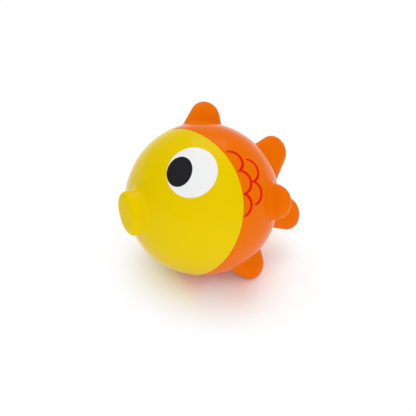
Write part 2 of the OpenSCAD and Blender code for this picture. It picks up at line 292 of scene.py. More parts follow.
class Nodes:
    """Builds one node tree."""

    def __init__(self, tree: bpy.types.NodeTree) -> None:
        """Empties the tree and starts again."""
        self.tree = tree
        tree.nodes.clear()

    def add(
        self, kind: str, settings: dict[str, Any], inputs: dict[Any, Any], output: Any = 0
    ) -> Socket | None:
        """Adds a node.

        Args:
            kind: The node's type.
            settings: Properties of the node, such as a Math node's operation, set first.
            inputs: A value or a Socket for each input socket, by name or number.
            output: The name or number of the output socket that is wanted.

        Returns:
            That output socket, or None for a node that has no output.
        """
        node = self.tree.nodes.new(kind)
        for key, value in settings.items():
            setattr(node, key, value)
        for key, value in inputs.items():
            if isinstance(value, Socket):
                self.tree.links.new(value.link, node.inputs[key])
            else:
                node.inputs[key].default_value = value
        return Socket(self, node.outputs[output]) if len(node.outputs) else None

    def place(self) -> Socket:
        """The object's own coordinates, which are the row's frame in metres."""
        return self.add("ShaderNodeTexCoord", {}, {}, "Object")

    def rays(self, *kinds: str) -> Socket:
        """1 for a ray of any of the kinds, such as Camera, and 0 for every other ray."""
        shares = [self.add("ShaderNodeLightPath", {}, {}, f"Is {kind} Ray") for kind in kinds]
        return sum(shares[1:], start=shares[0]).clamp()

    def noise(self, per_metre: float, detail: float = 2.0) -> Socket:
        """Cloudy noise from 0 to 1 with so many clouds to the metre."""
        inputs = {"Vector": self.place(), "Scale": per_metre, "Detail": detail}
        return self.add("ShaderNodeTexNoise", {}, inputs, "Fac")

    def blend(self, share: Any, first: Any, second: Any) -> Socket:
        """Colour a share of the way from first to second. Its colours are sockets 6, 7 and 2."""
        inputs = {"Factor": share, 6: first, 7: second}
        return self.add("ShaderNodeMix", {"data_type": "RGBA"}, inputs, 2)


def rgba(colour: Sequence[float]) -> tuple[float, float, float, float]:
    """A colour with full cover."""
    return (*colour, 1.0)


@dataclass(frozen=True)
class Finish:
    """A moulded or painted surface: cloudy colour, smudged gloss with fine waves, and a soft
    under-glow where glow is above 0.

    Colours are linear. Drift is how far the colour wanders towards the second colour, clouds,
    smudges and grain count to the metre, and grain_mm is the height of the fine waves.
    """

    name: str
    colour: tuple[float, float, float]
    drift_colour: tuple[float, float, float]
    drift: float = 0.5
    roughness: float = 0.12
    roughness_swing: float = 0.06
    clouds: float = 28.0
    smudges: float = 110.0
    smudge_detail: float = 4.0
    grain: float = 900.0
    grain_mm: float = 0.01
    glow: float = 0.0
    glow_reach: tuple[float, float, float] = (1.0, 0.5, 0.2)
    glow_mm: float = 2.0
    metallic: float = 0.0
    ior: float = 1.16

    def material(self) -> bpy.types.Material:
        """Builds the material.

        The roughness is its middle value plus swing (noise - 1 / 2).

        Returns:
            The new material.
        """
        material = bpy.data.materials.new(self.name)
        material.use_nodes = True
        nodes = Nodes(material.node_tree)
        share = (nodes.noise(self.clouds) * self.drift).clamp()
        smudges = nodes.noise(self.smudges, self.smudge_detail) * self.roughness_swing
        waves = {"Strength": 1.0, "Distance": self.grain_mm * MM, "Height": nodes.noise(self.grain)}
        look = {
            "Base Color": nodes.blend(share, rgba(self.colour), rgba(self.drift_colour)),
            "Roughness": (smudges + (self.roughness - self.roughness_swing / 2)).clamp(),
            "Metallic": self.metallic,
            "IOR": self.ior,
            "Normal": nodes.add("ShaderNodeBump", {}, waves, "Normal"),
            "Subsurface Weight": self.glow,
            "Subsurface Radius": self.glow_reach,
            "Subsurface Scale": self.glow_mm * MM,
        }
        shader = nodes.add("ShaderNodeBsdfPrincipled", {}, look, "BSDF")
        nodes.add("ShaderNodeOutputMaterial", {}, {"Surface": shader})
        return material


YELLOW_VINYL = Finish("yellow_vinyl", (0.82, 0.595, 0.0), (0.78, 0.56, 0.0))
ORANGE_VINYL = Finish("orange_vinyl", (0.86, 0.172, 0.0), (0.82, 0.150, 0.0))
SCALE_PAINT = Finish(
    "scale_paint", (0.76, 0.009, 0.006), (0.70, 0.006, 0.005), roughness=0.25
)
EYE_WHITE = Finish("eye_white", (0.87, 0.88, 0.88), (0.84, 0.85, 0.86), roughness=0.18)
PUPIL_BLACK = Finish(
    "pupil_black", (0.018, 0.018, 0.02), (0.024, 0.024, 0.026), roughness=0.18
)
SQUEAKER_PLASTIC = Finish(
    "squeaker_plastic", (0.74, 0.76, 0.75), (0.68, 0.71, 0.70), roughness=0.35, glow=0.2
)
REED_BRASS = Finish(
    "reed_brass", (0.78, 0.56, 0.22), (0.70, 0.48, 0.18), roughness=0.25, metallic=1.0, ior=1.5
)


# ---------------------------------------------------------------- the ball and its seam
@dataclass(frozen=True)
class Ball:
    """The hollow ball and the bowed seam that parts its two shells, in millimetres."""

    radius: float = 45.0
    wall: float = 2.2
    seam_x: float = 13.0
    seam_bow_r: float = 121.0
    seam_gap: float = 0.1
    seam_edge_r: float = 0.25

    @property
    def inner(self) -> float:
        """Radius of the hollow."""
        return self.radius - self.wall

    def seam(self, turn: Array) -> Array:
        """Where the seam crosses the ball.

        The seam lies on a tall cylinder about z. With c the cosine of the angle, the crossing
        solves (r c - x)^2 + (1 - c^2) r^2 cos(turn)^2 = bow^2, where x is the cylinder's middle.

        Args:
            turn: Directions about the nose.

        Returns:
            The angle from the nose in each direction.
        """
        r, x = self.radius, self.seam_x - self.seam_bow_r
        square = (r * np.sin(turn)) ** 2
        rest = x * x + (r * np.cos(turn)) ** 2 - self.seam_bow_r**2
        return np.arccos(-rest / (-r * x + np.sqrt((r * x) ** 2 - square * rest)))

    def edge(self, limit: Array, into: Way, steps: int = 4) -> tuple[Array, Array]:
        """Round edge of a shell at the seam: a quarter circle.

        Args:
            limit: Angle from the nose at which the shell ends, for each direction.
            into: The way from the edge into the shell.
            steps: Number of steps round the edge.

        Returns:
            Radii and angles from the nose, with one row for each step.
        """
        b = np.linspace(0, np.pi / 2, steps + 1)[1:, None]
        e = self.seam_edge_r
        radii = self.radius - e + e * np.cos(b) + 0 * limit
        return radii, limit + into.value * e * (1 - np.sin(b)) / self.radius

    @staticmethod
    def rings(radii: Array, angles: Array, turn: Array) -> Array:
        """Points at given distances from the middle and angles from the nose."""
        return on_axis(radii * np.cos(angles), radii * np.sin(angles), turn)


BALL = Ball()


def leave(start: Array, through: Array, radius: float) -> Array:
    """Where lines leave the ball: the larger root s of |start + s along|^2 = radius^2.

    Args:
        start: Points on the lines.
        through: Other points on the lines, further out.
        radius: The ball's radius.

    Returns:
        The points on the ball.
    """
    along = through - start
    a, b, c = dot(along, along), dot(start, along), dot(start, start) - radius**2
    return start + along * (-b + np.sqrt(b * b - a * c)) / a


@dataclass(frozen=True)
class FaceShell:
    """The yellow face with its lips: one skin from the middle of the lips, over the face, round
    the edge at the seam and back inside the wall."""

    ball: Ball = BALL
    mouth_h: float = 25.8
    mouth_w: float = 17.4
    mouth_reach: float = 8.8
    mouth_edge_r: float = 4.2
    mouth_tilt: float = 2.5
    mouth_fillet: float = 4.0
    turns: int = 224
    front_rings: int = 8
    edge_rings: int = 10
    fillet_steps: int = 12
    cheek_rings: int = 71
    inside_rings: int = 40
    first_ring: float = 0.1
    last_ring: float = 0.02

    def lips(self, turn: Array) -> tuple[Array, Array]:
        """Profile of the lips from their middle to where they run out on the ball.

        The outline is an oval. In each direction the profile is a flat front, a quarter circle,
        a straight wall and a quadratic fillet that meets the ball along its tangent.

        Args:
            turn: Directions about the nose.

        Returns:
            The rings' points, and the angle from the nose at which the fillet ends.
        """
        r, e = self.ball.radius, self.mouth_edge_r
        front = r + self.mouth_reach
        wall = 1 / np.hypot(np.cos(turn) / (self.mouth_w / 2), np.sin(turn) / (self.mouth_h / 2))
        share = np.linspace(self.first_ring, 1, self.front_rings)[:, None]
        flat = on_axis(front, (wall - e) * share, turn)
        b = np.linspace(0, np.pi / 2, self.edge_rings + 1)[1:, None]
        edge = on_axis(front - e * (1 - np.cos(b)), wall - e * (1 - np.sin(b)), turn)
        for rings in (flat, edge):
            rings[..., 0] += rings[..., 2] * np.tan(np.radians(self.mouth_tilt))
        start = np.sqrt(r * r - wall * wall)
        end = np.arcsin(wall / r) + np.arctan(self.mouth_fillet / r)
        corner = (r - wall * np.sin(end)) / np.cos(end)
        curve = bend(
            np.stack([start + self.mouth_fillet, wall]),
            np.stack([corner, wall]),
            np.stack([r * np.cos(end), r * np.sin(end)]),
            self.fillet_steps,
        )
        fillet = on_axis(curve[:, 0], curve[:, 1], turn)
        return np.concatenate([flat, edge, fillet]), end

    def skin(self) -> Skin:
        """Builds the shell's skin from rings about the nose.

        Returns:
            The closed skin.
        """
        ball, turn = self.ball, around(self.turns)
        limit = ball.seam(turn) - ball.seam_gap / 2 / ball.radius
        lips, end = self.lips(turn)
        radii, angles = ball.edge(limit, Way.NOSEWARD)
        cheeks = mix(end, angles[0], np.linspace(0, 1, self.cheek_rings + 2)[1:-1, None])
        inside = limit * np.linspace(1, self.last_ring, self.inside_rings)[:, None]
        rings = [
            lips,
            ball.rings(ball.radius, cheeks, turn),
            ball.rings(radii, angles, turn),
            ball.rings(ball.inner, inside, turn),
        ]
        skin = Skin()
        ids = skin.stack(np.concatenate(rings))
        skin.close(ids[0], [ball.radius + self.mouth_reach, 0, 0], first=True)
        skin.close(ids[-1], [ball.inner, 0, 0])
        return skin

    def build(self, pose: RestPose) -> bpy.types.Object:
        """Makes the shell's object."""
        return make_object("face_moulding", [self.skin()], pose, YELLOW_VINYL.material())


# ---------------------------------------------------------------- fins
@dataclass(frozen=True)
class Fin:
    """A moulded fin: a puffed plate on a fillet, with its points in the fish's frame.

    Seen from its side, two straight edges run from the roots on the ball and touch a round tip.
    Across itself every section is a fuller oval, |x/a|^p + |z/b|^p = 1, and the thickness runs
    out over the tip in the same way. Sunk is how far below its root a wall starts on its way to
    the ball, and reach_most how much of a short wall the fillet may take, as shares of the wall.
    """

    tip: Array
    front: Array
    rear: Array
    tip_r: float = 10.3
    tip_t: float = 8.6
    root_t: float = 10.4
    fillet: float = 2.6
    power: float = 2.5
    sunk: float = 1.2
    reach_most: float = 0.8
    sides: int = 72
    fillet_steps: int = 10
    wall_rings: int = 14
    tip_rings: int = 31

    @property
    def normal(self) -> Array:
        """Direction square to the plate."""
        return unit(np.cross(self.tip - self.front, self.rear - self.front))

    def touch(self, root: Array, turn: int) -> Array:
        """Where an edge touches the tip's circle: square to the line from a root that grazes it.

        Args:
            root: The point from which the edge runs.
            turn: 1 for the front edge and -1 for the rear one.

        Returns:
            The direction to that place from the tip's middle.
        """
        reach, n = self.tip - root, self.normal * turn
        a = np.arcsin(self.tip_r / np.linalg.norm(reach))
        along = unit(reach)
        edge = along * np.cos(a) - np.cross(n, along) * np.sin(a)
        return np.cross(edge, n)

    @property
    def touches(self) -> tuple[Array, Array]:
        """The directions in which the front and the rear edge touch the tip."""
        return self.touch(self.front, 1), self.touch(self.rear, -1)

    def oval(self, front: Array, rear: Array, half_t: float) -> tuple[Array, Array]:
        """Section between two points of the outline: x = cos^(2/p), z = sin^(2/p), signs kept.

        Args:
            front: The outline's point at the front.
            rear: The outline's point at the rear.
            half_t: Half the thickness there.

        Returns:
            The section's points, and the directions in which it faces.
        """
        middle, half, n = (front + rear) / 2, (front - rear) / 2, self.normal
        turn, width = around(self.sides)[:, None], np.linalg.norm(half)
        x, z = (np.sign(v) * np.abs(v) ** (2 / self.power) for v in (np.cos(turn), np.sin(turn)))
        slope_x = np.sign(x) * np.abs(x) ** (self.power - 1) / width
        slope_z = np.sign(z) * np.abs(z) ** (self.power - 1) / half_t
        return middle + half * x + n * half_t * z, unit(half / width * slope_x + n * slope_z)

    def thickness(self, a: float) -> float:
        """Half thickness at an angle from the fin's own axis round the tip."""
        return self.tip_t / 2 * (1 - max(np.cos(a), 0) ** self.power) ** (1 / self.power)

    def at_edge(self, w: float) -> tuple[Array, Array]:
        """Section across the straight edges.

        Args:
            w: 0 at the roots and 1 where the edges touch the tip.

        Returns:
            The section's points, and the directions in which it faces.
        """
        outs = self.touches
        wrap = np.arccos(outs[0] @ unit(outs[0] + outs[1]))
        ends = [self.tip + out * self.tip_r for out in outs]
        points = [mix(root, end, w) for root, end in zip((self.front, self.rear), ends)]
        return self.oval(*points, mix(self.root_t / 2, self.thickness(wrap), w))

    def at_tip(self, w: float) -> Array:
        """Section across the round tip.

        Args:
            w: 0 where the edges touch the tip and 1 at its outermost point.

        Returns:
            The section's points.
        """
        front, rear = self.touches
        axis, across = unit(front + rear), unit(front - rear)
        a = np.arccos(front @ axis) * (1 - w)
        middle, half = self.tip + axis * np.cos(a) * self.tip_r, across * np.sin(a) * self.tip_r
        return self.oval(middle + half, middle - half, self.thickness(a))[0]

    def skin(self, ball: Ball) -> Skin:
        """Builds the fin from a foot inside the ball's wall over the fillet and walls to the tip.

        The fillet is a quadratic curve between the lines along the wall and along the ball.

        Args:
            ball: The ball on which the fin stands.

        Returns:
            The closed skin.
        """
        root, facing = self.at_edge(0)
        top, _ = self.at_edge(1)
        cut = leave(root - (top - root) * self.sunk, top, ball.radius)
        up, radial = unit(top - cut), unit(cut)
        flat = unit(facing - radial * dot(facing, radial))
        foot = unit(cut + flat * self.fillet)
        corner = cut + up * (ball.radius - dot(cut, foot)) / dot(up, foot)
        most = self.reach_most * np.linalg.norm(top - cut, axis=-1, keepdims=True)
        start = cut + up * np.minimum(self.fillet, most)
        fillet = bend(start, corner, foot * ball.radius, self.fillet_steps)[::-1]
        walls = mix(fillet[-1], top, np.linspace(0, 1, self.wall_rings + 1)[1:, None, None])
        tips = np.stack([self.at_tip(w) for w in np.linspace(0, 1, self.tip_rings + 2)[1:-1]])
        in_wall = ball.radius - ball.wall / 2
        skin = Skin()
        ids = skin.stack(np.concatenate([foot[None] * in_wall, fillet, walls, tips]))
        skin.close(ids[0], unit(foot.mean(0)) * in_wall, first=True)
        skin.close(ids[-1], self.tip + unit(sum(self.touches)) * self.tip_r)
        return skin


def up_back(r: float, back: float) -> Array:
    """Point of the middle plane at an angle back from straight up."""
    return r * np.array([-np.sin(np.radians(back)), 0, np.cos(np.radians(back))])


def down_back(r: float, back: float) -> Array:
    """Point of the middle plane at an angle back from straight down."""
    return up_back(r, back) * [1, 1, -1]


def behind(r: float, rise: float) -> Array:
    """Point of the middle plane at an angle above straight back."""
    return r * np.array([-np.cos(np.radians(rise)), 0, np.sin(np.radians(rise))])


def beside(r: float, side: Side, sweep: float, drop: float) -> Array:
    """Point at angles behind and below straight sideways."""
    s, d = np.radians(sweep), np.radians(drop)
    return r * np.array([-np.sin(s) * np.cos(d), side.value * np.cos(s) * np.cos(d), -np.sin(d)])


# ---------------------------------------------------------------- rear shell
@dataclass(frozen=True)
class SqueakerSeat:
    """The hole and the neck in the belly that hold the squeaker's plug.

    Heights are measured out along the squeaker's axis from the middle of the ball. Angle is how
    far ahead of straight down the axis points. The rows and columns are those left out of the
    ball's grid about the hole.
    """

    angle: float = 2.5
    flange_r: float = 7.05
    plug_r: float = 6.05
    neck_r: float = 8.05
    flange_t: float = 1.35
    neck_len: float = 7.0
    rows_ahead: int = 11
    rows_behind: int = 13
    columns: int = 18
    fill_rings: int = 8

    @property
    def axes(self) -> Array:
        """The squeaker's own directions.

        Returns:
            Columns: two directions across the squeaker and the direction out of the belly.
        """
        a = np.radians(self.angle)
        out = np.array([np.sin(a), 0, -np.cos(a)])
        across = np.array([0, 1.0, 0])
        return np.stack([np.cross(across, out), across, out], axis=1)

    def circle(self, bearing: Array, r: float, height: float) -> Array:
        """Points of a circle about the axis.

        Args:
            bearing: Angles about the axis.
            r: The circle's radius.
            height: The circle's height.

        Returns:
            One point for each bearing.
        """
        side, across, out = self.axes.T
        b = bearing[:, None]
        return (side * np.cos(b) + across * np.sin(b)) * r + out * height


@dataclass(frozen=True)
class RearShell:
    """The orange shell: the rest of the ball, the spigot inside the seam, the neck for the
    squeaker and six fins moulded with it.

    A fin's tuple gives how far its tip stands out past the ball, and then its angles in degrees.
    """

    ball: Ball = BALL
    seat: SqueakerSeat = SqueakerSeat()
    spigot_len: float = 5.0
    spigot_back: float = 4.4
    spigot_t: float = 1.4
    dorsal: tuple[float, float, float, float] = (14.4, 17.0, -3.0, 32.5)
    ventral: tuple[float, float, float, float] = (14.6, 29.5, 11.0, 48.0)
    tail: tuple[float, float, float, float] = (28.9, 18.0, 31.5, -20.0)
    tail_rise: float = 0.5
    pectoral: tuple[float, float, float, float] = (10.6, 28.0, 13.0, 14.0)
    turns: int = 200
    ball_rings: int = 96
    first_ring: float = 0.015

    def fins(self) -> dict[str, Fin]:
        """Places the fins.

        Returns:
            The six fins by name.
        """
        r = self.ball.radius
        core = r - Fin.tip_r
        middle = {"dorsal": (self.dorsal, up_back), "ventral": (self.ventral, down_back)}
        fins = {}
        for name, ((reach, lean, front, rear), at) in middle.items():
            fins[name] = Fin(at(core + reach, lean), at(r, front), at(r, rear))
        for side in Side:
            reach, spread, root, notch = self.tail
            rise = side.value
            fins[f"tail_{side.word}"] = Fin(
                behind(core + reach, rise * spread + self.tail_rise),
                behind(r, rise * root + self.tail_rise),
                behind(r, rise * notch + self.tail_rise),
            )
            reach, sweep, drop, half = self.pectoral
            fins[f"pectoral_{side.word}"] = Fin(
                beside(core + reach, side, sweep, drop),
                beside(r, side, sweep, drop - half),
                beside(r, side, sweep, drop + half),
            )
        return fins

    def _open(
        self, skin: Skin, ids: Array, radius: float, hole_r: float, way: Way
    ) -> tuple[Array, Array, Array]:
        """Leaves a block out of a ball's grid and fills it up to a round hole about the squeaker.

        The block's border is a ring of grid points. Each ring on the way to the hole is a mix of
        the border and of the circle at the same bearings, brought back to the ball.

        Args:
            skin: The skin that holds the grid.
            ids: The grid's numbers, in rows about the nose.
            radius: Radius of the ball.
            hole_r: Radius of the hole.
            way: The way in which the rows follow one another.

        Returns:
            Which quads of the grid to keep, the hole ring's numbers, and its bearings.
        """
        seat = self.seat
        points = np.concatenate(skin.points)
        row, column = np.unravel_index(np.argmax(points[ids] @ seat.axes[:, 2]), ids.shape)
        before, after = (seat.rows_behind, seat.rows_ahead)[:: -way.value]
        rows = np.arange(row - before, row + after + 1)
        half = seat.columns // 2
        columns = (column + np.arange(-half, half + 1)) % ids.shape[1]
        block = ids[np.ix_(rows, columns)]
        border = np.concatenate([block[0, :-1], block[:-1, -1], block[-1, :0:-1], block[:0:-1, 0]])
        place = points[border] @ seat.axes
        bearing = np.arctan2(place[:, 1], place[:, 0])
        circle = seat.circle(bearing, hole_r, np.sqrt(radius**2 - hole_r**2))
        share = np.linspace(0, 1, seat.fill_rings + 1)[1:, None, None]
        rings = skin.stack(unit(mix(points[border], circle, share)) * radius)
        skin.bridge(border, rings[0])
        keep = np.ones((ids.shape[0] - 1, ids.shape[1]), bool)
        keep[np.ix_(rows[:-1], columns[:-1])] = False
        return keep, rings[-1], bearing

    def hull(self) -> Skin:
        """Builds the ball's part and the neck: outside, seam edge, inside and the lined hole.

        Returns:
            The closed skin, without the spigot and the fins.
        """
        ball, seat, turn = self.ball, self.seat, around(self.turns)
        limit = ball.seam(turn) + ball.seam_gap / 2 / ball.radius
        radii, angles = ball.edge(limit, Way.TAILWARD)
        share = np.linspace(self.first_ring, 1, self.ball_rings)[:, None]
        skin = Skin()
        outer = skin.add(ball.rings(ball.radius, mix(np.pi, angles[0], share), turn))
        edge = skin.stack(ball.rings(radii, angles, turn))
        inner = skin.add(ball.rings(ball.inner, mix(limit, np.pi, 1 - share[::-1]), turn))
        skin.bridge(outer[-1], edge[0])
        skin.bridge(edge[-1], inner[0])
        skin.close(outer[0], [-ball.radius, 0, 0], first=True)
        skin.close(inner[-1], [-ball.inner, 0, 0])
        keep, mouth, bearing = self._open(skin, outer, ball.radius, seat.flange_r, Way.NOSEWARD)
        skin.bridge(outer[:-1], outer[1:], keep)
        keep, root, root_bearing = self._open(skin, inner, ball.inner, seat.neck_r, Way.TAILWARD)
        skin.bridge(inner[:-1], inner[1:], keep)
        neck = self._neck(skin, bearing)
        skin.bridge(mouth, neck[0])
        # The hollow's ring runs the other way round, so it is taken backwards, from the bearing
        # at which the neck's rings start.
        start = np.argmax(np.cos(root_bearing - bearing[0]))
        skin.bridge(neck[-1], np.roll(root[::-1], start + 1))
        return skin

    def _neck(self, skin: Skin, bearing: Array) -> Array:
        """Lines the hole: flange seat, bore, end of the neck and its outside.

        Args:
            skin: The skin that gets the rings.
            bearing: The bearings of each ring's points.

        Returns:
            The rings' numbers.
        """
        seat = self.seat
        face = np.sqrt(self.ball.radius**2 - seat.flange_r**2)
        profile = [
            (seat.flange_r, face - seat.flange_t),
            (seat.plug_r, face - seat.flange_t),
            (seat.plug_r, face - seat.neck_len),
            (seat.neck_r, face - seat.neck_len),
        ]
        return skin.stack(np.stack([seat.circle(bearing, r, height) for r, height in profile]))

    def spigot(self) -> Skin:
        """Builds the ring inside the seam, ahead into the face shell and back towards the neck.

        Its profile, given as radii and as angles from the seam, follows the seam all round.

        Returns:
            The closed skin.
        """
        ball, turn = self.ball, around(self.turns)
        outer, slim = ball.inner + ball.wall / 2, ball.inner - ball.seam_gap
        inner = slim - self.spigot_t
        ahead, back = self.spigot_len / ball.inner, self.spigot_back / ball.inner
        gap = ball.seam_gap / ball.radius
        profile = [
            (slim, -ahead),
            (slim, gap),
            (outer, gap),
            (outer, back),
            (inner, back),
            (inner, -ahead),
        ]
        limit = ball.seam(turn)[None]
        skin = Skin()
        ids = skin.stack(np.concatenate([ball.rings(r, limit + a, turn) for r, a in profile]))
        skin.bridge(ids[-1], ids[0])
        return skin

    def build(self, pose: RestPose) -> bpy.types.Object:
        """Makes the shell's object."""
        skins = [self.hull(), self.spigot(), *(fin.skin(self.ball) for fin in self.fins().values())]
        return make_object("rear_moulding", skins, pose, ORANGE_VINYL.material())


# ---------------------------------------------------------------- eyes
@dataclass(frozen=True)
class Eye:
    """One eye: a domed white with an oval pupil.

    The eye's frame has x out of the face, y to the rear and z up. The white is a little longer
    than wide, by the share oval, and its upper end leans to the rear by the angle lean. Each
    skin's rings run from the middle of its front to the middle of its back, and the first and
    last fields give the first and last ring's share of the half width.
    """

    ball: Ball = BALL
    azimuth: float = 51.1
    elevation: float = 20.5
    width: float = 29.0
    oval: float = 0.028
    lean: float = 24.0
    bulge: float = 1.0
    rim_t: float = 1.1
    pupil_w: float = 14.9
    pupil_h: float = 17.9
    pupil_tilt: float = 18.0
    pupil_shift: float = 6.6
    pupil_rise: float = 1.3
    pupil_t: float = 0.8
    pupil_proud: float = 0.05
    edge_r: float = 0.25
    turns: int = 144
    edge_rings: int = 5
    white_rings: int = 40
    white_first: float = 0.02
    white_back_rings: int = 20
    white_last: float = 0.05
    pupil_rings: int = 24
    pupil_first: float = 0.04
    pupil_back_rings: int = 8
    pupil_last: float = 0.1

    def rim(self, turn: Array) -> Array:
        """Half width of the white towards turn: width / 2 (1 + oval cos 2 (turn - long axis))."""
        return self.width / 2 * (1 + self.oval * np.cos(2 * (turn - np.radians(90 - self.lean))))

    def dome(self, out: Array, turn: Array) -> Array:
        """Height of the dome: a circle's arc through the rim on both sides and the middle.

        Args:
            out: Distances from the eye's axis.
            turn: Directions about it, from +y to +z.

        Returns:
            The heights over the middle of the ball.
        """
        half = self.rim(turn)
        rim = np.sqrt(self.ball.radius**2 - half**2)
        rise = self.ball.radius + self.bulge - rim
        r = (half**2 + rise**2) / (2 * rise)
        return rim + rise - r + np.sqrt(r * r - out * out)

    def turned(self, points: Array, side: Side) -> Array:
        """Puts points of the eye's frame in the fish's frame.

        Args:
            points: The points, in the left eye's frame.
            side: The side on which the eye is. The right eye is the left one's mirror image.

        Returns:
            The points in the fish's frame.
        """
        a, e = np.radians(self.azimuth), np.radians(self.elevation)
        lift = np.array([[np.cos(e), 0, -np.sin(e)], [0, 1, 0], [np.sin(e), 0, np.cos(e)]])
        swing = np.array([[np.cos(a), -np.sin(a), 0], [np.sin(a), np.cos(a), 0], [0, 0, 1]])
        return points @ (swing @ lift).T * [1, side.value, 1]

    def white(self, side: Side) -> Skin:
        """Builds a white: a dome with a quarter circle for edge and an underside along the ball.

        The dome's rings lie at sin(s pi / 2) of the half width, with s in even steps.

        Args:
            side: The side on which the eye is.

        Returns:
            The closed skin.
        """
        turn, e, seat = around(self.turns), self.edge_r, self.ball.radius - self.rim_t
        half = self.rim(turn)
        share = np.linspace(self.white_first, 1, self.white_rings)[:, None]
        out = (half - e) * np.sin(share * np.pi / 2)
        b = np.linspace(0, np.pi / 2, self.edge_rings + 1)[1:, None]
        edge = self.dome(half - e, turn) - e * (1 - np.cos(b))
        below = half * np.linspace(1, self.white_last, self.white_back_rings)[:, None]
        rings = [
            on_axis(self.dome(out, turn), out, turn),
            on_axis(edge, half - e * (1 - np.sin(b)), turn),
            on_axis(np.sqrt(seat**2 - below**2), below, turn),
        ]
        skin = Skin()
        ids = skin.stack(self.turned(np.concatenate(rings), side))
        top = self.turned(np.array([self.ball.radius + self.bulge, 0, 0]), side)
        skin.close(ids[0], top, first=True)
        skin.close(ids[-1], self.turned(np.array([seat, 0, 0]), side))
        return skin

    def pupil(self, side: Side) -> Skin:
        """Builds a pupil: an oval that follows the dome, with a round edge sunk in the white.

        A ring's point is (share (w / 2 - e) + grow) cos, (share (h / 2 - e) + grow) sin, turned
        by the pupil's tilt and moved, at the dome's height there plus the ring's own height.

        Args:
            side: The side on which the eye is.

        Returns:
            The closed skin.
        """
        turn, e, proud = around(self.turns), self.edge_r, self.pupil_proud
        b = np.linspace(0, np.pi / 2, self.edge_rings + 1)[1:, None]
        inner = np.linspace(self.pupil_first, 1, self.pupil_rings)[:, None]
        down = np.linspace(1, self.pupil_last, self.pupil_back_rings)[:, None]
        share = np.concatenate([inner, 1 + 0 * b, down])
        grow = np.concatenate([0 * inner, e * np.sin(b), e * down])
        top, edge = proud + 0 * inner, proud - e * (1 - np.cos(b))
        height = np.concatenate([top, edge, 0 * down - self.pupil_t])
        y = (share * (self.pupil_w / 2 - e) + grow) * np.cos(turn)
        z = (share * (self.pupil_h / 2 - e) + grow) * np.sin(turn)
        c, s = np.cos(np.radians(self.pupil_tilt)), np.sin(np.radians(self.pupil_tilt))
        y, z = y * c + z * s - self.pupil_shift, z * c - y * s + self.pupil_rise
        x = self.dome(np.hypot(y, z), np.arctan2(z, y)) + height
        skin = Skin()
        ids = skin.stack(self.turned(np.stack([x, y, z], axis=-1), side))
        y, z = -self.pupil_shift, self.pupil_rise
        middle = self.dome(np.hypot(y, z), np.arctan2(z, y))
        skin.close(ids[0], self.turned(np.array([middle + proud, y, z]), side), first=True)
        skin.close(ids[-1], self.turned(np.array([middle - self.pupil_t, y, z]), side))
        return skin

    def build(self, pose: RestPose) -> dict[str, bpy.types.Object]:
        """Makes both whites and both pupils.

        Args:
            pose: How the fish lies.

        Returns:
            The objects, by the names of the nodes that they stand for.
        """
        white, black = EYE_WHITE.material(), PUPIL_BLACK.material()
        made = {}
        for side in Side:
            dome, oval = f"white_dome_{side.word}", f"pupil_oval_{side.word}"
            made[f"eye_white_{side.word}"] = make_object(dome, [self.white(side)], pose, white)
            made[f"pupil_{side.word}"] = make_object(oval, [self.pupil(side)], pose, black)
        return made


# ---------------------------------------------------------------- painted scales
@dataclass(frozen=True)
class ScaleArc:
    """One painted scale: an open arc about a point of the ball.

    Azimuth runs back from the nose and elevation up, in degrees. First and last are the arc's
    ends, with 0 to the rear and 90 up. Radius and width are millimetres along the ball.
    """

    azimuth: float
    elevation: float
    first: float
    last: float
    radius: float = 6.5
    width: float = 1.95


@dataclass(frozen=True)
class Scales:
    """The painted scales on both sides: thin bands that stand a hair proud of the orange shell.

    A band is slim times as wide at its ends as in its middle, before it is rounded off there,
    and blunt is the power by which it is. Last is the end rings' place between 0 and 1.
    """

    ball: Ball = BALL
    proud: float = 0.05
    slim: float = 0.7
    blunt: int = 8
    steps: int = 72
    last: float = 0.999
    sides: int = 16
    arcs: tuple[ScaleArc, ...] = (
        ScaleArc(83.7, 21.4, 100, -84),
        ScaleArc(85.4, 5.2, 84, -95),
        ScaleArc(82.1, -10.8, 74, -86),
        ScaleArc(96.0, 12.7, 88, -92),
        ScaleArc(93.5, -3.9, 84, -92),
    )

    def band(self, arc: ScaleArc, side: Side) -> Skin:
        """Builds one band: a flat lens carried along a circle of the ball, round at both ends.

        Half its width follows (slim + (1 - slim) cos(s pi / 2)) sqrt(1 - s^blunt), where s runs
        from -1 to 1 along it.

        Args:
            arc: The scale.
            side: The side on which it is.

        Returns:
            The closed skin.
        """
        r = self.ball.radius
        az, el = np.radians(arc.azimuth), np.radians(arc.elevation)
        out = np.array([np.cos(az) * np.cos(el), np.sin(az) * np.cos(el), np.sin(el)])
        rear = np.array([-np.sin(az), np.cos(az), 0])
        up = np.cross(out, rear)
        s = np.linspace(-self.last, self.last, self.steps)[:, None]
        turn = np.radians(mix(arc.first, arc.last, (s + 1) / 2))
        swell = self.slim + (1 - self.slim) * np.cos(s * np.pi / 2)
        half = arc.width / 2 * swell * np.sqrt(1 - s**self.blunt)
        c = around(self.sides)
        away = ((arc.radius + half * np.cos(c)) / r)[..., None]
        height = (r + self.proud * np.sin(c))[:, None]
        aside = rear * np.cos(turn)[..., None] + up * np.sin(turn)[..., None]
        points = (out * np.cos(away) + aside * np.sin(away)) * height * [1, side.value, 1]
        skin = Skin()
        ids = skin.stack(points)
        skin.close(ids[0], points[0].mean(0), first=True)
        skin.close(ids[-1], points[-1].mean(0))
        return skin

    def build(self, pose: RestPose) -> list[bpy.types.Object]:
        """Makes the bands.

        Args:
            pose: How the fish lies.

        Returns:
            One object for each side.
        """
        paint, made = SCALE_PAINT.material(), []
        for side in Side:
            bands = [self.band(arc, side) for arc in self.arcs]
            made.append(make_object(f"painted_scales_{side.word}", bands, pose, paint))
        return made


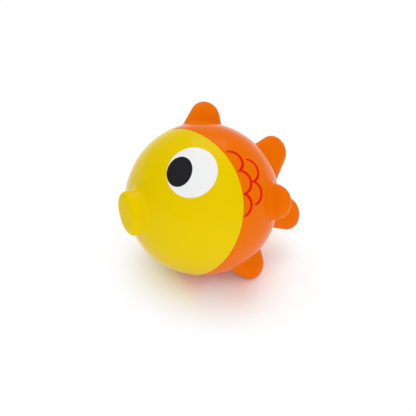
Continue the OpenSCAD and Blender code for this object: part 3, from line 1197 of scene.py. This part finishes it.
# ---------------------------------------------------------------- squeaker
@dataclass(frozen=True)
class Squeaker:
    """The squeaker's solids, which keep their shape and get their finishes."""

    plastic: tuple[str, ...] = ("squeaker_housing", "squeaker_cover", "reed_seat")
    brass: tuple[str, ...] = ("reed",)

    def dress(self, nodes: dict[str, bpy.types.Object]) -> None:
        """Puts the finishes on the solids.

        Args:
            nodes: The frame's objects by name.
        """
        for names, finish in ((self.plastic, SQUEAKER_PLASTIC), (self.brass, REED_BRASS)):
            material = finish.material()
            for name in names:
                nodes[name].data.materials.clear()
                nodes[name].data.materials.append(material)
                LOG.info("%s keeps its solid and gets %s", name, finish.name)


# ---------------------------------------------------------------- studio
@dataclass(frozen=True)
class SoftBox:
    """A square lamp that points at the toy.

    Azimuth and elevation are in degrees, distance and size in metres and power in watts. The
    azimuth is 0 on the -Y side and grows towards +X. In gloss says whether gloss shows it.
    """

    name: str
    azimuth: float
    elevation: float
    distance: float
    size: float
    power: float
    in_gloss: bool = True

    def hang(self, target: Vector) -> None:
        """Makes the lamp.

        Args:
            target: The point at which it is aimed.
        """
        a, e = np.radians(self.azimuth), np.radians(self.elevation)
        back = Vector((np.sin(a) * np.cos(e), -np.cos(a) * np.cos(e), np.sin(e)))
        lamp = bpy.data.lights.new(self.name, "AREA")
        lamp.shape = "SQUARE"
        lamp.size = self.size
        lamp.energy = self.power
        holder = bpy.data.objects.new(self.name, lamp)
        facing = back.to_track_quat("Z", "Y").to_matrix().to_4x4()
        holder.matrix_world = Matrix.Translation(target + back * self.distance) @ facing
        holder.visible_glossy = self.in_gloss
        bpy.context.scene.collection.objects.link(holder)


@dataclass(frozen=True)
class Studio:
    """Pale floor, soft light and the camera at the photograph's angle.

    The camera is given by its right and back directions in the fish's frame, its distance from
    the middle of the ball in ball radii, the ball's radius in pixels, and the pixel in which the
    middle of the ball lies. The pool is where the floor shows its shadow: it is whole up to
    pool_near metres from its middle and gone at pool_far.
    """

    right: tuple[float, float, float] = (-0.798, 0.566, -0.207)
    back: tuple[float, float, float] = (0.581, 0.814, -0.012)
    distance: float = 12.0
    ball_px: float = 76.6
    centre_px: tuple[float, float] = (202.2, 199.0)
    sensor: float = 36.0
    floor_half: float = 6.0
    floor_colour: float = 0.93
    floor_shine: float = 0.14
    floor_roughness: float = 0.4
    pool: tuple[float, float, float] = (0.010, -0.008, 0.0)
    pool_near: float = 0.025
    pool_far: float = 0.074
    sky_light: float = 0.77
    room_light: float = 1.2
    room_fall: float = 4.0
    boxes: tuple[SoftBox, ...] = (
        SoftBox("front_fill", -39, 35, 1.0, 0.8, 0.6, in_gloss=False),
        SoftBox("low_fill", -20, 8, 1.0, 0.6, 1.9, in_gloss=False),
        SoftBox("back_box", 140, 60, 0.9, 0.6, 1.9),
    )

    def camera(self, pose: RestPose) -> None:
        """Sets the camera. A ball seen from d radii spans 1 / sqrt(d^2 - 1) of the focal length.

        Args:
            pose: How the fish lies.
        """
        back = unit(np.array(self.back))
        right = unit(np.array(self.right) - back * np.dot(self.right, back))
        turned = pose.axes @ np.stack([right, np.cross(back, right), back], axis=1)
        focal_px = self.ball_px * np.sqrt(self.distance**2 - 1)
        place = pose.lay(np.zeros(3)) + turned[:, 2] * self.distance * pose.ball_r * MM
        view = bpy.data.cameras.new("photo_camera")
        view.sensor_width = self.sensor
        view.lens = self.sensor * focal_px / IMAGE_PX
        view.shift_x = (IMAGE_PX / 2 - self.centre_px[0]) / IMAGE_PX
        view.shift_y = (self.centre_px[1] - IMAGE_PX / 2) / IMAGE_PX
        holder = bpy.data.objects.new("photo_camera", view)
        holder.matrix_world = Matrix([*np.column_stack([turned, place]).tolist(), (0, 0, 0, 1)])
        bpy.context.scene.collection.objects.link(holder)
        bpy.context.scene.camera = holder

    def floor(self) -> None:
        """Makes the floor: pale and satin, and outside the pool white to the camera and in gloss.

        The share of white is t^2 (3 - 2 t), where t runs from 0 to 1 over the pool's soft edge.
        """
        h = self.floor_half
        mesh = bpy.data.meshes.new("floor")
        mesh.from_pydata([(-h, -h, 0), (h, -h, 0), (h, h, 0), (-h, h, 0)], [], [(0, 1, 2, 3)])
        material = bpy.data.materials.new("pale_floor")
        material.use_nodes = True
        nodes = Nodes(material.node_tree)
        seen = nodes.rays("Camera", "Glossy", "Transmission")
        places = {0: nodes.place(), 1: self.pool}
        out = nodes.add("ShaderNodeVectorMath", {"operation": "DISTANCE"}, places, "Value")
        t = ((out - self.pool_near) * (1 / (self.pool_far - self.pool_near))).clamp()
        pale = {"Color": rgba([self.floor_colour] * 3)}
        matt = nodes.add("ShaderNodeBsdfDiffuse", {}, pale, "BSDF")
        shine = {"Color": rgba([self.floor_shine] * 3), "Roughness": self.floor_roughness}
        gloss = nodes.add("ShaderNodeBsdfAnisotropic", {}, shine, "BSDF")
        satin = nodes.add("ShaderNodeAddShader", {}, {0: matt, 1: gloss})
        plain = {"Color": WHITE, "Strength": 1.0}
        white = nodes.add("ShaderNodeEmission", {}, plain, "Emission")
        shares = {0: seen * t * t * (3 - 2 * t), 1: satin, 2: white}
        mixed = nodes.add("ShaderNodeMixShader", {}, shares)
        nodes.add("ShaderNodeOutputMaterial", {}, {"Surface": mixed})
        mesh.materials.append(material)
        floor = bpy.data.objects.new("floor", mesh)
        bpy.context.scene.collection.objects.link(floor)

    def sky(self, pose: RestPose) -> None:
        """Sets the world: white for the camera and through glass, an even sky for matt surfaces,
        and for gloss a room that is bright behind the toy and dark on the photographed side.

        The gloss strength is (0.5 - 0.5 d) ^ fall, with d the cosine between a ray and that side.

        Args:
            pose: How the fish lies.
        """
        world = bpy.data.worlds.new("studio")
        world.use_nodes = True
        nodes = Nodes(world.node_tree)
        seen = nodes.rays("Camera", "Transmission")
        gloss = nodes.rays("Glossy")
        dark_side = (pose.axes @ unit(np.array(self.back))).tolist()
        ways = {0: nodes.add("ShaderNodeTexCoord", {}, {}, "Generated"), 1: dark_side}
        aside = nodes.add("ShaderNodeVectorMath", {"operation": "DOT_PRODUCT"}, ways, "Value")
        room = (0.5 - 0.5 * aside).clamp() ** self.room_fall * self.room_light
        strength = seen + (1 - seen) * (gloss * room + (1 - gloss) * self.sky_light)
        inputs = {"Color": WHITE, "Strength": strength}
        light = nodes.add("ShaderNodeBackground", {}, inputs, "Background")
        nodes.add("ShaderNodeOutputWorld", {}, {"Surface": light})
        bpy.context.scene.world = world

    def set_up(self, pose: RestPose) -> None:
        """Makes everything round the toy.

        Args:
            pose: How the fish lies.
        """
        self.camera(pose)
        self.floor()
        self.sky(pose)
        for box in self.boxes:
            box.hang(Vector(pose.lay(np.zeros(3))))
        bpy.context.scene.view_settings.view_transform = "Standard"


# ---------------------------------------------------------------- all together
def stand_for(piece: bpy.types.Object, node: str) -> None:
    """Lets a piece ride on the toy in place of a node, and reports it.

    Args:
        piece: The new object.
        node: The node that it stands for.
    """
    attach(piece, TOY)
    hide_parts(node)
    LOG.info("%s stands for %s: %d faces", piece.name, node, len(piece.data.polygons))


def main() -> None:
    """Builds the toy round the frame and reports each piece."""
    logging.basicConfig(level=logging.INFO, format="%(name)s: %(message)s")
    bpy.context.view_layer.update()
    pose = RestPose(tuple(frame["joints"][0]["axis"]), BALL.radius)
    Studio().set_up(pose)
    stand_for(FaceShell().build(pose), "face_shell")
    stand_for(RearShell().build(pose), "rear_shell")
    for node, piece in Eye().build(pose).items():
        stand_for(piece, node)
    for bands in Scales().build(pose):
        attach(bands, TOY)
        LOG.info("%s lies on the rear shell: %d faces", bands.name, len(bands.data.polygons))
    Squeaker().dress(frame["nodes"])


if __name__ == "__main__":
    main()
